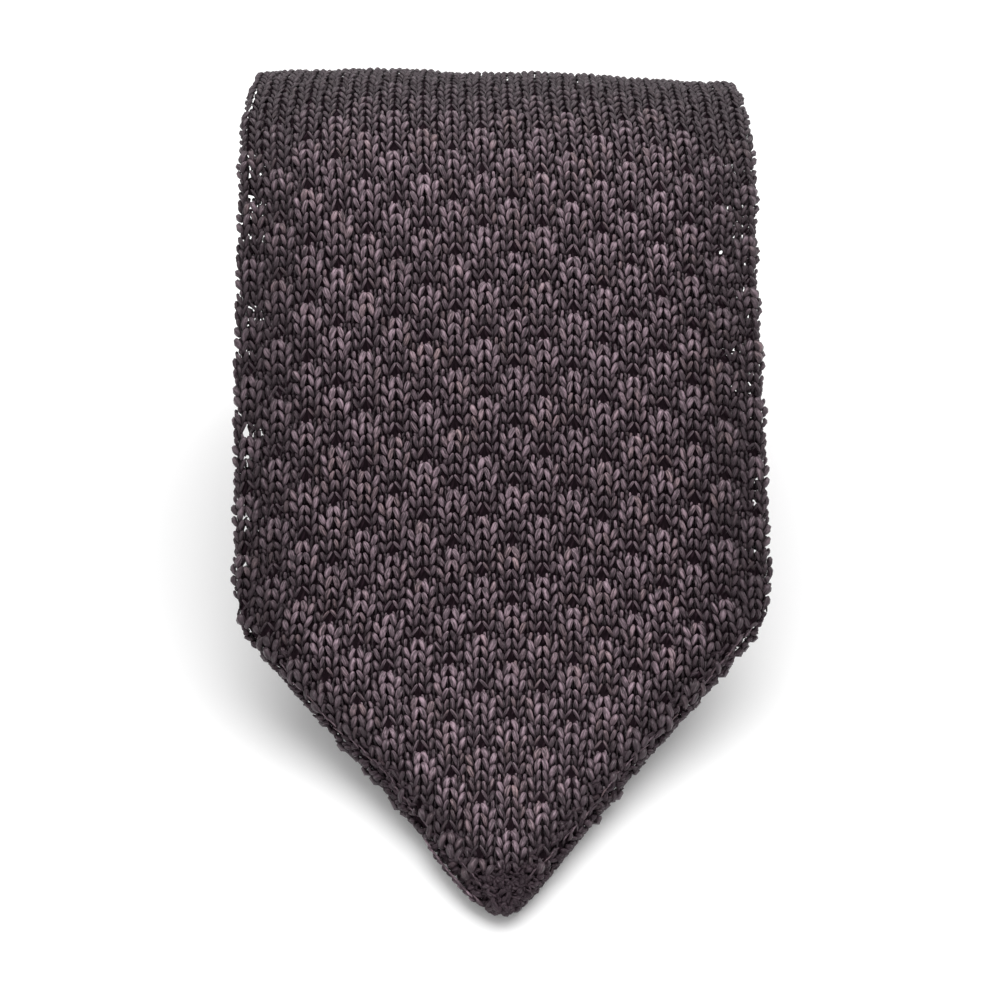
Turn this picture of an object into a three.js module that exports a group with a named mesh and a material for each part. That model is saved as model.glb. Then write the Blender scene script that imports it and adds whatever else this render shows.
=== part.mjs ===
// A knitted necktie, rolled up from its narrow end and lying on the roll. The pointed wide end comes
// over the top of the roll and slopes down in front to the surface.
// Millimetres, +Z up, the point towards -Y, the roll's axis along X.
import * as THREE from "three";

// The knitted tube
const bladeWidth = 60; // the flattened tube across the wide end
const clothThickness = 1.55; // both layers of the tube, pressed flat
const layerGap = 0.25; // air between one turn of the roll and the next
const edgeRound = 0.5; // how far in the rounding of the tube's side edges begins
const pointLength = 35.5; // from the shoulders of the wide end to its point
const pointWidth = 3.6; // the blunt end of the point

// The roll
const rolledLength = 1325; // the length of tie that lies in the roll
const coreDepth = 9.2; // the opening that is left in the middle of the roll
const coreHeight = 7.8;
const settle = 0.3; // how much the roll flattens where it rests

// The wide end in front of the roll
const leaveAngle = 40; // how far past the top, in degrees, the wide end leaves the roll
const reach = 86; // from the middle of the roll forward to the point
const upperEase = 42; // how long the wide end keeps the roll's direction
const lowerEase = 42; // how long before the point it begins to lie down
const pointSlope = 3; // the slope at the point, in degrees

// The corners of the tube's end, turned back under the point
const foldGap = 0.3; // air between the corners and what they touch
const leftPeek = 0.9; // how far the left corner shows past the edge of the point
const rightPeek = 0.2;

// How finely the curves are divided
const stepsATurn = 24;
const pointSteps = 10;
const slopeSteps = 16;
const foldSteps = 9;
const shoulderSteps = 3;

// The width of the tie along its length, both as shares: of the whole length and of the wide end.
const widths = [
  { along: 0.0, width: 1.0 },
  { along: 0.09, width: 0.985 },
  { along: 0.18, width: 0.82 },
  { along: 0.33, width: 0.66 },
  { along: 0.72, width: 0.64 },
  { along: 1.0, width: 0.74 },
];

const layerPitch = clothThickness + layerGap;
const halfThickness = clothThickness / 2;
const knitMaterial = (color) => new THREE.MeshStandardMaterial({ color, roughness: 0.85, metalness: 0 });

// A spiral whose turns lie one layer pitch apart covers its own area once, which gives its growth
// from the core to the outermost turn.
function rollGrowth() {
  const coreSum = (coreDepth + coreHeight) / 2;
  const covered = (rolledLength * layerPitch) / Math.PI;
  return (-coreSum + Math.sqrt(coreSum ** 2 + 4 * covered)) / 2;
}

const growth = rollGrowth();
const outerHalfDepth = coreDepth / 2 + growth;
const outerHalfHeight = coreHeight / 2 + growth;
const startAngle = 90 + leaveAngle;
const turnsToBottom = (startAngle + 90) / 360;
const rollCentreHeight = outerHalfHeight - turnsToBottom * layerPitch + halfThickness - settle;

// The middle of the cloth after it has turned so many degrees round the roll, from where the wide
// end leaves it. Every turn lies flat on the one below it at the bottom.
function rollPoint(turned) {
  const turns = turned / 360;
  const angle = THREE.MathUtils.degToRad(startAngle - turned);
  const height = (outerHalfHeight - turns * layerPitch) * Math.sin(angle);
  const lowest = halfThickness + Math.floor(turns) * layerPitch;
  return new THREE.Vector2(
    (outerHalfDepth - turns * layerPitch) * Math.cos(angle),
    Math.max(rollCentreHeight + height, lowest),
  );
}

// The middle of the cloth from the point up to where it meets the roll, as one cubic curve.
function slopeCurve() {
  const start = rollPoint(0);
  const angle = THREE.MathUtils.degToRad(startAngle);
  const forward = new THREE.Vector2(-outerHalfDepth * Math.sin(angle), outerHalfHeight * Math.cos(angle));
  const rise = THREE.MathUtils.degToRad(pointSlope);
  const back = new THREE.Vector2(Math.cos(rise), Math.sin(rise));
  const point = new THREE.Vector2(-reach, clothThickness + foldGap + halfThickness);
  return new THREE.CubicBezierCurve(
    point,
    point.clone().addScaledVector(back, lowerEase),
    start.clone().addScaledVector(forward.normalize(), upperEase),
    start,
  );
}

const slope = slopeCurve();
const slopeLength = slope.getLength();
const tieLength = slopeLength + rolledLength;

// Half the width of the tie at a distance from its point.
function halfWidthAt(distance) {
  const share = distance / tieLength;
  const next = Math.max(1, widths.findIndex((row) => row.along >= share));
  const [low, high] = [widths[next - 1], widths[next]];
  const width = THREE.MathUtils.mapLinear(share, low.along, high.along, low.width, high.width);
  const full = (bladeWidth * width) / 2;
  const pointed = THREE.MathUtils.mapLinear(distance, 0, pointLength, pointWidth / 2, bladeWidth / 2);
  return Math.min(full, pointed);
}

// The direction square to a line of points at each of them, outwards from the roll, and as long as
// keeps an even distance from both of the lines that meet there.
function outwards(points) {
  const square = points.slice(1).map((point, i) => {
    const along = point.clone().sub(points[i]).normalize();
    return new THREE.Vector2(-along.y, along.x);
  });
  return points.map((_, i) => {
    const before = square[Math.max(i - 1, 0)];
    const after = square[Math.min(i, square.length - 1)];
    const middle = before.clone().add(after).normalize();
    return middle.divideScalar(middle.dot(before));
  });
}

// A closed solid of flattened cloth. Each station has its middle line's point, and where the cloth
// begins and ends across; the side edges are rounded.
function clothGeometry(stations) {
  const normals = outwards(stations.map((station) => station.point));
  const positions = [];
  stations.forEach(({ point, from, to }, i) => {
    const round = Math.min(edgeRound, (to - from) / 4);
    const outline = [
      [from + round, halfThickness],
      [to - round, halfThickness],
      [to, halfThickness / 3],
      [to, -halfThickness / 3],
      [to - round, -halfThickness],
      [from + round, -halfThickness],
      [from, -halfThickness / 3],
      [from, halfThickness / 3],
    ];
    for (const [across, out] of outline) {
      positions.push(across, point.x + normals[i].x * out, point.y + normals[i].y * out);
    }
  });
  const corners = positions.length / 3 / stations.length;
  const faces = [];
  for (let station = 1; station < stations.length; station++) {
    for (let corner = 0; corner < corners; corner++) {
      const here = station * corners + corner;
      const next = station * corners + ((corner + 1) % corners);
      faces.push(here, here - corners, next, next, here - corners, next - corners);
    }
  }
  const last = (stations.length - 1) * corners;
  for (let corner = 1; corner < corners - 1; corner++) {
    faces.push(0, corner + 1, corner);
    faces.push(last, last + corner, last + corner + 1);
  }
  const geometry = new THREE.BufferGeometry();
  geometry.setAttribute("position", new THREE.Float32BufferAttribute(positions, 3));
  geometry.setIndex(faces);
  geometry.computeVertexNormals();
  return geometry;
}

// The middle line of the whole tie, from the point to the narrow end, with its distance from the point.
function tieLine() {
  const line = [];
  for (let step = 0; step < pointSteps; step++) {
    const distance = (pointLength * step) / pointSteps;
    line.push({ distance, point: slope.getPointAt(distance / slopeLength) });
  }
  for (let step = 0; step <= slopeSteps; step++) {
    const distance = pointLength + ((slopeLength - pointLength) * step) / slopeSteps;
    line.push({ distance, point: slope.getPointAt(distance / slopeLength) });
  }
  // The turns are divided at the same angles, with one flat step at the bottom.
  const step = 360 / stepsATurn;
  const offset = (startAngle + 90 + step / 2) % step;
  for (let turned = offset || step; ; turned += step) {
    const before = line[line.length - 1];
    const point = rollPoint(turned);
    const distance = before.distance + point.distanceTo(before.point);
    if (distance >= tieLength) {
      const share = (tieLength - before.distance) / (distance - before.distance);
      line.push({ distance: tieLength, point: before.point.clone().lerp(point, share) });
      return line;
    }
    line.push({ distance, point });
  }
}

function knitTube() {
  return clothGeometry(
    tieLine().map(({ distance, point }) => {
      const half = halfWidthAt(distance);
      return { point, from: -half, to: half };
    }),
  );
}

// One corner of the tube's end, turned back along the edge of the point. The corner's own tip then
// lies near the middle line, and an edge runs from there to the shoulder.
function cornerFold(side, peek) {
  const half = bladeWidth / 2;
  const foldSquared = half ** 2 + pointLength ** 2;
  const tipAcross = half * ((2 * half ** 2) / foldSquared - 1);
  const tipAlong = (2 * half ** 2 * pointLength) / foldSquared;
  const middle = foldGap / 2;
  const meeting = tipAcross < middle
    ? THREE.MathUtils.mapLinear(middle, tipAcross, half, tipAlong, pointLength)
    : tipAlong;
  const innerAt = (distance) => distance < tipAlong
    ? (tipAcross * distance) / tipAlong
    : THREE.MathUtils.mapLinear(distance, tipAlong, pointLength, tipAcross, half);
  const line = [];
  for (let step = 0; step < foldSteps; step++) {
    line.push((meeting * step) / foldSteps);
  }
  for (let step = 0; step <= shoulderSteps; step++) {
    line.push(meeting + ((pointLength - meeting) * step) / shoulderSteps);
  }
  const points = line.map((distance) => slope.getPointAt(distance / slopeLength));
  const above = outwards(points);
  return clothGeometry(
    line.map((distance, i) => {
      const outer = halfWidthAt(distance) + peek * Math.sin((Math.PI * distance) / pointLength);
      const inner = Math.min(Math.max(middle, innerAt(distance)), outer - clothThickness);
      const across = [side * inner, side * outer].sort((a, b) => a - b);
      return {
        point: points[i].addScaledVector(above[i], -(clothThickness + foldGap)),
        from: across[0],
        to: across[1],
      };
    }),
  );
}

const tie = new THREE.Group();

function addPiece(name, geometry, color) {
  const mesh = new THREE.Mesh(geometry, knitMaterial(color));
  mesh.name = name;
  tie.add(mesh);
}

addPiece("knit_tube", knitTube(), 0x41373a);
addPiece("left_corner_fold", cornerFold(-1, leftPeek), 0x3a3134);
addPiece("right_corner_fold", cornerFold(1, rightPeek), 0x3a3134);

// The origin is under the middle of the whole, on the surface that it lies on.
const box = new THREE.Box3().setFromObject(tie);
const middle = box.getCenter(new THREE.Vector3());
tie.position.set(-middle.x, -middle.y, -box.min.z);

export default tie;
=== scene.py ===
import math

import bpy
import numpy as np
from mathutils import Matrix, Vector


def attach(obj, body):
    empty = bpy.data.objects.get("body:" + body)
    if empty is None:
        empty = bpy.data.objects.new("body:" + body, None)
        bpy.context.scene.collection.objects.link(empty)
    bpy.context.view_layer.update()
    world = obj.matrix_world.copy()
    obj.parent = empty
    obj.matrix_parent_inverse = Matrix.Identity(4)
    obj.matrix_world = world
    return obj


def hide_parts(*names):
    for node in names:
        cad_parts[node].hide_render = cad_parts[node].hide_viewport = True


# A knitted necktie, rolled up from its narrow end. The shapes are worked out in millimetres and
# become metres when a mesh is made.
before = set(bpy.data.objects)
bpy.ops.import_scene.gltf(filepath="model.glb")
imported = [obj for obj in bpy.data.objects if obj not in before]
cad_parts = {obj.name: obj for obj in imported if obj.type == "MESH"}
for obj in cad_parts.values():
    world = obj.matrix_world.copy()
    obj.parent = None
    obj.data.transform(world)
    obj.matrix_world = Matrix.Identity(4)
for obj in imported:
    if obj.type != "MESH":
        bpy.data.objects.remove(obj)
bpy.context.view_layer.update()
chance = np.random.default_rng(41)

# The camera, from the photograph's perspective: degrees, metres, and the focal length in pixels of 1000.
cameraSettings = {
    "elevation": 35.0,
    "turn": 1.17,
    "roll": -1.57,
    "distance": 0.179,
    "target": (-0.00019, -0.00505, 0.0165),
    "focalPixels": 1494.8,
}


def makeCamera(settings):
    elevation, turn, roll = (math.radians(settings[key]) for key in ("elevation", "turn", "roll"))
    level = Vector((math.sin(turn), -math.cos(turn), 0))
    back = math.cos(elevation) * level + Vector((0, 0, math.sin(elevation)))
    right = Vector((math.cos(turn), math.sin(turn), 0))
    up = right.cross(-back)
    sideways = math.cos(roll) * right + math.sin(roll) * up
    upwards = math.cos(roll) * up - math.sin(roll) * right
    place = Vector(settings["target"]) + settings["distance"] * back
    data = bpy.data.cameras.new("camera")
    data.sensor_width = 36
    data.lens = settings["focalPixels"] / 1000 * data.sensor_width
    data.clip_start = 0.005
    camera = bpy.data.objects.new("camera", data)
    turned = Matrix((sideways, upwards, back)).transposed().to_4x4()
    camera.matrix_world = Matrix.Translation(place) @ turned
    bpy.context.scene.collection.objects.link(camera)
    bpy.context.scene.camera = camera


makeCamera(cameraSettings)
print("camera placed")

# The tie's sizes and the roll's, as the solids have them
tie = {
    "bladeWidth": 60.0,
    "clothThickness": 1.55,
    "layerGap": 0.25,
    "pointLength": 35.5,
    "tipRadius": 2.2,
    "pointInset": 1.15,  # how far the yarn's fold lies inside the solids' edge of the point
    "foldWidth": 1.1,  # the width where the two folds meet at the tip
    "rolledLength": 1325.0,
    "coreDepth": 9.2,
    "coreHeight": 7.8,
    "settle": 0.3,
    "leaveAngle": 40.0,
    "reach": 86.0,
    "upperEase": 42.0,
    "lowerEase": 42.0,
    "pointSlope": 3.0,
    "foldGap": 0.3,
    "middle": 28.947,  # from the roll's axis to the middle of the whole, along Y
    "mostTurns": 14,
    "slopeSteps": 240,
    "lowest": 0.02,  # nothing lies closer to the floor
    # At the top of the roll the right end sags, the left end rises, and both sides spread.
    "topHeights": (30, 54),
    "droop": 1.9,
    "droopAcross": (2, 30),
    "leftRise": 0.8,
    "riseAcross": (2, 14),
    "leftSpread": 0.6,
    "leftHeights": (47, 56),
    "rightSpread": 0.85,
    "rightHeights": (40, 52),
    # The edges of the point are drawn in a little between the tip and the shoulders.
    "pinchAlong": (0, 4, 6, 9, 12, 15.6, 18.1, 20.6, 23, 25.6, 28, 31, 34, 38),
    "pinch": (1.07, 1.06, 1.0, 0.958, 0.944, 0.938, 0.94, 0.956, 0.98, 0.99, 1.005, 1.013, 1.02, 1.0),
    "widthAlong": (0.0, 0.09, 0.18, 0.33, 0.72, 1.0),
    "widthShare": (1.0, 0.985, 0.82, 0.66, 0.64, 0.74),
}
pitch = tie["clothThickness"] + tie["layerGap"]
halfThickness = tie["clothThickness"] / 2


# The middle of the cloth from the point to the narrow end: a cubic curve up to the roll, then a
# spiral whose half axes shrink by one pitch a turn and which lies flat where it rests.
def makeTieLine():
    coreSum = (tie["coreDepth"] + tie["coreHeight"]) / 2
    covered = tie["rolledLength"] * pitch / math.pi
    growth = (-coreSum + math.sqrt(coreSum**2 + 4 * covered)) / 2
    halfDepth = tie["coreDepth"] / 2 + growth
    halfHeight = tie["coreHeight"] / 2 + growth
    start = 90 + tie["leaveAngle"]
    centreHeight = halfHeight - (start + 90) / 360 * pitch + halfThickness - tie["settle"]

    turned = np.arange(0, 360 * tie["mostTurns"], 1.0)
    turns = turned / 360
    angle = np.radians(start - turned)
    rollY = (halfDepth - turns * pitch) * np.cos(angle)
    rollZ = np.maximum(centreHeight + (halfHeight - turns * pitch) * np.sin(angle),
                       halfThickness + np.floor(turns) * pitch)
    roll = np.stack([rollY, rollZ], axis=1)

    forward = np.array([-halfDepth * math.sin(angle[0]), halfHeight * math.cos(angle[0])])
    rise = math.radians(tie["pointSlope"])
    tip = np.array([-tie["reach"], tie["clothThickness"] + tie["foldGap"] + halfThickness])
    handles = np.array([
        tip,
        tip + tie["lowerEase"] * np.array([math.cos(rise), math.sin(rise)]),
        roll[0] + tie["upperEase"] * forward / np.linalg.norm(forward),
        roll[0],
    ])
    t = np.linspace(0, 1, tie["slopeSteps"])[:-1, None]
    slope = ((1 - t) ** 3 * handles[0] + 3 * t * (1 - t) ** 2 * handles[1]
             + 3 * t**2 * (1 - t) * handles[2] + t**3 * handles[3])
    line = np.concatenate([slope, roll])
    steps = np.linalg.norm(np.diff(line, axis=0), axis=1)
    along = np.concatenate([[0], np.cumsum(steps)])
    leaves = along[len(slope)]
    keep = along <= leaves + tie["rolledLength"]
    line, along = line[keep], along[keep]
    direction = np.gradient(line, along, axis=0)
    direction /= np.linalg.norm(direction, axis=1)[:, None]
    outward = np.stack([-direction[:, 1], direction[:, 0]], axis=1)
    line[:, 0] += tie["middle"]
    return {"along": along, "place": line, "direction": direction, "outward": outward, "leaves": leaves}


tieLine = makeTieLine()
tieLength = tieLine["along"][-1]
leavesRoll = tieLine["leaves"]
print(f"tie line: {tieLength:.0f} mm, leaves the roll at {leavesRoll:.1f} mm")


def fullHalfWidth(along):
    share = np.clip(along / tieLength, 0, 1)
    return tie["bladeWidth"] / 2 * np.interp(share, tie["widthAlong"], tie["widthShare"])


# 0 below low, 1 above high, and an even S between them.
def smooth(low, high, value):
    t = np.clip((value - low) / (high - low), 0, 1)
    return t * t * (3 - 2 * t)


# Places in the row frame for points given across the tie, along it from the point, and off its
# middle surface. Past the point the line runs straight on.
def onTie(across, along, height):
    table = tieLine["along"]
    inside = np.clip(along, 0, tieLength)
    place = [np.interp(inside, table, tieLine["place"][:, i]) for i in (0, 1)]
    outward = [np.interp(inside, table, tieLine["outward"][:, i]) for i in (0, 1)]
    length = np.hypot(*outward)
    outward = [outward[0] / length, outward[1] / length]
    beyond = along - inside
    y = place[0] + outward[0] * height + beyond * outward[1]
    z = place[1] + outward[1] * height - beyond * outward[0]
    droop = tie["droop"] * smooth(*tie["droopAcross"], across)
    rise = tie["leftRise"] * smooth(*tie["riseAcross"], -across)
    z = z - smooth(*tie["topHeights"], z) * (droop - rise)
    wide = across * np.interp(along, tie["pinchAlong"], tie["pinch"])
    left = tie["leftSpread"] * smooth(*tie["leftHeights"], z)
    right = tie["rightSpread"] * smooth(*tie["rightHeights"], z)
    wide = wide + across / (tie["bladeWidth"] / 2) * np.where(across < 0, left, right)
    return np.stack([wide, y, np.maximum(z, tie["lowest"])], axis=-1)


edgeRadius = 0.62  # of the middle of the yarn, where the flattened tube turns round its side edges


# From a distance round the tube and a height off its middle plane to a place across it: flat on the
# face, half a circle round each edge, and flat again behind.
def roundTube(girth, height, half):
    side = np.sign(girth)
    turnsAt = half - edgeRadius
    past = np.abs(girth) - turnsAt
    angle = np.clip(past / edgeRadius, 0, math.pi)
    behind = np.maximum(past - math.pi * edgeRadius, 0)
    across = np.where(past < 0, np.abs(girth), turnsAt + height * np.sin(angle) - behind)
    return side * across, np.where(past < 0, height, height * np.cos(angle))


foldAxis = -(tie["clothThickness"] + tie["foldGap"]) / 2
foldRadius = edgeRadius - foldAxis
pointRun = np.array([tie["bladeWidth"] / 2 - tie["foldWidth"] / 2, tie["pointLength"]])
pointRun /= np.linalg.norm(pointRun)
pointApex = -tie["foldWidth"] / 2 * pointRun[1] / pointRun[0] + tie["pointInset"] / pointRun[0]


# How far a place lies inside the rounded outline of the point, and the direction inwards.
def insidePoint(across, along):
    reach = np.abs(across)
    centre = pointApex + tie["tipRadius"] / pointRun[0]
    fromLine = -reach * pointRun[1] + (along - pointApex) * pointRun[0]
    toCentre = np.stack([-reach, centre - along], axis=-1)
    distance = np.linalg.norm(toCentre, axis=-1) + 1e-9
    # Round the tip counts the disc, and elsewhere the straight edge.
    atTip = reach * pointRun[0] + (along - centre) * pointRun[1] < 0
    inside = np.where(atTip, tie["tipRadius"] - distance, fromLine)
    fromEdge = np.array([-pointRun[1], pointRun[0]])
    inward = np.where(atTip[..., None], toCentre / distance[..., None], fromEdge)
    return inside, inward


# Turns the cloth outside the point under it: half a circle round a straight axis, then flat.
def foldPoint(across, along, height):
    side = np.sign(across)
    inside, inward = insidePoint(across, along)
    angle = np.clip((foldRadius - inside) / foldRadius, 0, math.pi)
    behind = np.maximum(-inside - (math.pi - 1) * foldRadius, 0)
    radius = height - foldAxis
    moved = foldRadius - radius * np.sin(angle) + behind
    bends = inside < foldRadius
    shift = np.where(bends, moved - inside, 0)
    newAcross = np.abs(across) + shift * inward[..., 0]
    newAlong = along + shift * inward[..., 1]
    newHeight = np.where(bends, foldAxis + radius * np.cos(angle), height)
    return side * newAcross, newAlong, newHeight


# The stitches. One column of the pattern is two wales wide and mirrored at its middle, and every other
# column is shifted by half a repeat. Rows of a table are the visible legs of the loops: where a leg
# begins and ends across from the column's middle and along towards the point, its radius, the height
# of its top, middle and foot, and how far it bows aside.
stitch = {
    "columnPitch": 3.36,
    "repeat": 6.72,
    "columnShift": 1.38,
    "rowShift": -3.10,
    "ground": 0.60,
    "placeJitter": 0.055,
    "radiusJitter": 0.08,
    "rowBow": 3.3,  # how far the rows bend towards the point at bowReach from the middle
    "bowReach": 26.0,
    "bowPower": 1.7,
    "bowLimit": 31,
    "bowShift": 0.2,
    "wander": 0.06,  # the columns' small waves, and how long they are
    "wanderAlong": 3.1,
    "wanderAcross": 11,
    "blunt": 0.32,  # the power that blunts a leg's oval ends
    "taper": (1.04, 0.2),  # its girth at the top, and how much it loses towards the foot
    # Over the top of the roll the feet of a wale's two legs come closer, and the legs lie flatter,
    # higher and thinner.
    "crestFrom": (88, 106),
    "crestTo": (140, 165),
    "crestLean": 0.5,
    "crestFlat": 0.55,
    "crestRise": 0.12,
    "crestThin": 0.14,
    "waleMiddle": 0.80,
    "swayAlong": (0, 20, 34, 41, 47, 54, 61, 67, 74, 81, 88, 94, 101, 120),
    "sway": (-0.45, -0.45, -0.33, -0.17, 0.03, 0.33, 0.42, 0.5, 0.65, 0.55, 0.42, 0.25, 0, 0),
}
legNames = ("topAcross", "topAlong", "footAcross", "footAlong", "radius", "top", "middle", "foot", "bow")
legTable = {
    "bigPair": (0.14, -0.12, 0.62, 1.22, 0.38, 0.28, 0.70, -0.04, 0.11),
    "secondPair": (0.14, 1.08, 0.60, 2.50, 0.36, 0.26, 0.62, -0.12, 0.11),
    "thirdPair": (0.12, 2.46, 0.62, 3.70, 0.29, 0.34, 0.12, -0.45, 0.12),
    "fourthPair": (0.17, 3.60, 0.54, 4.82, 0.27, 0.12, 0.02, -0.42, 0.06),
    "tentPair": (0.11, 4.92, 0.90, 6.10, 0.20, 0.28, 0.04, -0.50, 0.03),
    "tips": (0.43, 6.28, 0.50, 6.90, 0.17, 0.30, 0.58, -0.10, 0.0),
    "flame": (1.34, -0.48, 1.44, 0.48, 0.23, 0.12, 0.26, -0.25, 0.0),
    "leanFirst": (1.50, 0.50, 0.96, 1.76, 0.37, 0.12, 0.54, -0.10, 0.04),
    "leanSecond": (1.48, 1.72, 0.90, 3.10, 0.37, 0.08, 0.48, -0.20, 0.04),
    "leanThird": (1.16, 2.98, 0.98, 3.68, 0.26, -0.14, -0.06, -0.40, 0.0),
    "leanFourth": (1.40, 3.44, 0.86, 4.80, 0.29, 0.10, 0.12, -0.38, 0.03),
    "leanFifth": (1.42, 4.76, 0.98, 6.08, 0.34, -0.16, -0.08, -0.45, 0.03),
}
# Strands deeper in the cloth that show in the gaps between the legs
deepTable = {
    "centreFirst": (0.10, 1.14, 0.16, 2.16, 0.20, -0.30, -0.26, -0.44, 0.05),
    "centreSecond": (0.12, 2.46, 0.18, 3.50, 0.20, -0.36, -0.32, -0.48, 0.05),
    "centreThird": (0.10, 3.80, 0.16, 4.74, 0.20, -0.38, -0.34, -0.48, 0.05),
    "holeSide": (0.90, 6.05, 0.70, 6.80, 0.22, -0.26, -0.24, -0.45, 0.0),
    "besideFirst": (0.86, -0.30, 0.70, 1.20, 0.30, -0.40, -0.34, -0.52, 0.0),
    "besideSecond": (0.84, 1.05, 0.72, 2.55, 0.30, -0.42, -0.36, -0.52, 0.0),
    "besideThird": (0.78, 2.40, 0.84, 3.90, 0.30, -0.48, -0.42, -0.56, 0.0),
    "besideFourth": (0.86, 3.75, 0.74, 5.25, 0.30, -0.48, -0.42, -0.56, 0.0),
    "besideFifth": (0.92, 5.05, 0.98, 6.55, 0.28, -0.52, -0.46, -0.60, 0.0),
    "betweenFirst": (1.70, 0.10, 1.62, 1.60, 0.30, -0.36, -0.30, -0.50, 0.0),
    "betweenSecond": (1.62, 1.45, 1.70, 2.95, 0.30, -0.40, -0.34, -0.50, 0.0),
    "betweenThird": (1.66, 2.80, 1.62, 3.40, 0.28, -0.50, -0.44, -0.56, 0.0),
}


# All the legs of a table between two distances from the point, as columns of numbers. Rows bend
# towards the point at the sides, by a power of the distance from the middle, and columns sway.
def chartLegs(table, nearest, furthest, girthLimit):
    reach = math.ceil(girthLimit / stitch["columnPitch"]) + 1
    columns = np.arange(-reach, reach + 1)
    rows = np.arange(math.floor(nearest / stitch["repeat"]) - 1, math.ceil(furthest / stitch["repeat"]) + 3)
    legs = np.array(list(table.values()))
    column, row, leg, side = (
        a.ravel() for a in np.meshgrid(columns, rows, np.arange(len(legs)), (-1, 1), indexing="ij"))
    chosen = legs[leg]
    found = {name: chosen[:, i].copy() for i, name in enumerate(legNames)}
    centre = column * stitch["columnPitch"] + stitch["columnShift"]
    base = (row + 0.5 * (column % 2)) * stitch["repeat"] + stitch["rowShift"]
    crest = smooth(*stitch["crestFrom"], base) * (1 - smooth(*stitch["crestTo"], base))
    found["footAcross"] += (stitch["waleMiddle"] - found["footAcross"]) * stitch["crestLean"] * crest
    for name in ("top", "middle", "foot"):
        found[name] = found[name] * (1 - stitch["crestFlat"] * crest) + stitch["crestRise"] * crest
    found["radius"] *= 1 - stitch["crestThin"] * crest
    for end in ("top", "foot"):
        found[end + "Across"] = centre + side * found[end + "Across"]
        found[end + "Along"] = base - found[end + "Along"]
    found["bow"] *= side
    for name in ("topAcross", "footAcross", "topAlong", "footAlong"):
        found[name] += chance.normal(0, stitch["placeJitter"], len(centre))
    found["radius"] *= 1 + chance.normal(0, stitch["radiusJitter"], len(centre))
    for name in ("top", "middle", "foot"):
        found[name] += stitch["ground"]
    found["paintedShade"] = np.zeros(len(centre))
    middle = (found["topAlong"] + found["footAlong"]) / 2
    sway = np.interp(middle, stitch["swayAlong"], stitch["sway"])
    wander = stitch["wander"] * np.sin(middle / stitch["wanderAlong"] + centre / stitch["wanderAcross"] + 2)
    for end in ("top", "foot"):
        fromMiddle = np.minimum(np.abs(found[end + "Across"]), stitch["bowLimit"]) / stitch["bowReach"]
        found[end + "Along"] -= stitch["rowBow"] * fromMiddle ** stitch["bowPower"] - stitch["bowShift"]
        found[end + "Across"] += sway + wander
    middle = (found["topAlong"] + found["footAlong"]) / 2
    girth = (found["topAcross"] + found["footAcross"]) / 2
    keep = (middle >= nearest) & (middle < furthest) & (np.abs(girth) <= girthLimit)
    return {name: values[keep] for name, values in found.items()}


def pick(legs, mask):
    return {name: values[mask] for name, values in legs.items()}


def joinLegs(*several):
    return {name: np.concatenate([legs[name] for legs in several]) for name in several[0]}


# Points of every leg in the flat space of the chart. A leg runs straight from top to foot, bowed
# aside by half a sine, and rises and falls on a parabola. Its girth is a blunt oval that thins
# towards the foot.
def legPoints(legs, rings, sides):
    t = np.concatenate([[0.0], rings, [1.0]])[None, :]
    column = {name: values[:, None] for name, values in legs.items()}
    reach = column["footAcross"] - column["topAcross"]
    run = column["footAlong"] - column["topAlong"]
    across = column["topAcross"] + reach * t + column["bow"] * np.sin(math.pi * t)
    along = column["topAlong"] + run * t
    height = ((1 - t) ** 2 * column["top"] + 2 * t * (1 - t) * column["middle"]
              + t**2 * column["foot"])
    tangent = np.stack([
        reach + column["bow"] * math.pi * np.cos(math.pi * t),
        run + 0 * t,
        2 * (1 - t) * (column["middle"] - column["top"]) + 2 * t * (column["foot"] - column["middle"]),
    ], axis=-1)
    tangent /= np.linalg.norm(tangent, axis=-1)[..., None]
    sideways = np.stack([tangent[..., 1], -tangent[..., 0], 0 * tangent[..., 0]], axis=-1)
    sideways /= np.linalg.norm(sideways, axis=-1)[..., None]
    upwards = np.cross(sideways, tangent)
    upwards *= np.sign(upwards[..., 2:3])
    oval = np.clip(1 - (2 * t - 1) ** 2, 0, 1) ** stitch["blunt"]
    girth = column["radius"] * oval * (stitch["taper"][0] - stitch["taper"][1] * t)
    angle = 2 * math.pi * np.arange(sides) / sides + math.pi / 2
    ringed = slice(1, -1)
    centre = np.stack([across, along, height], axis=-1)
    ring = (centre[:, ringed, None, :]
            + girth[:, ringed, None, None] * (np.cos(angle)[:, None] * sideways[:, ringed, None, :]
                                              + np.sin(angle)[:, None] * upwards[:, ringed, None, :]))
    poles = centre[:, [0, -1]]
    return np.concatenate([ring.reshape(len(ring), -1, 3), poles], axis=1)


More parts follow.
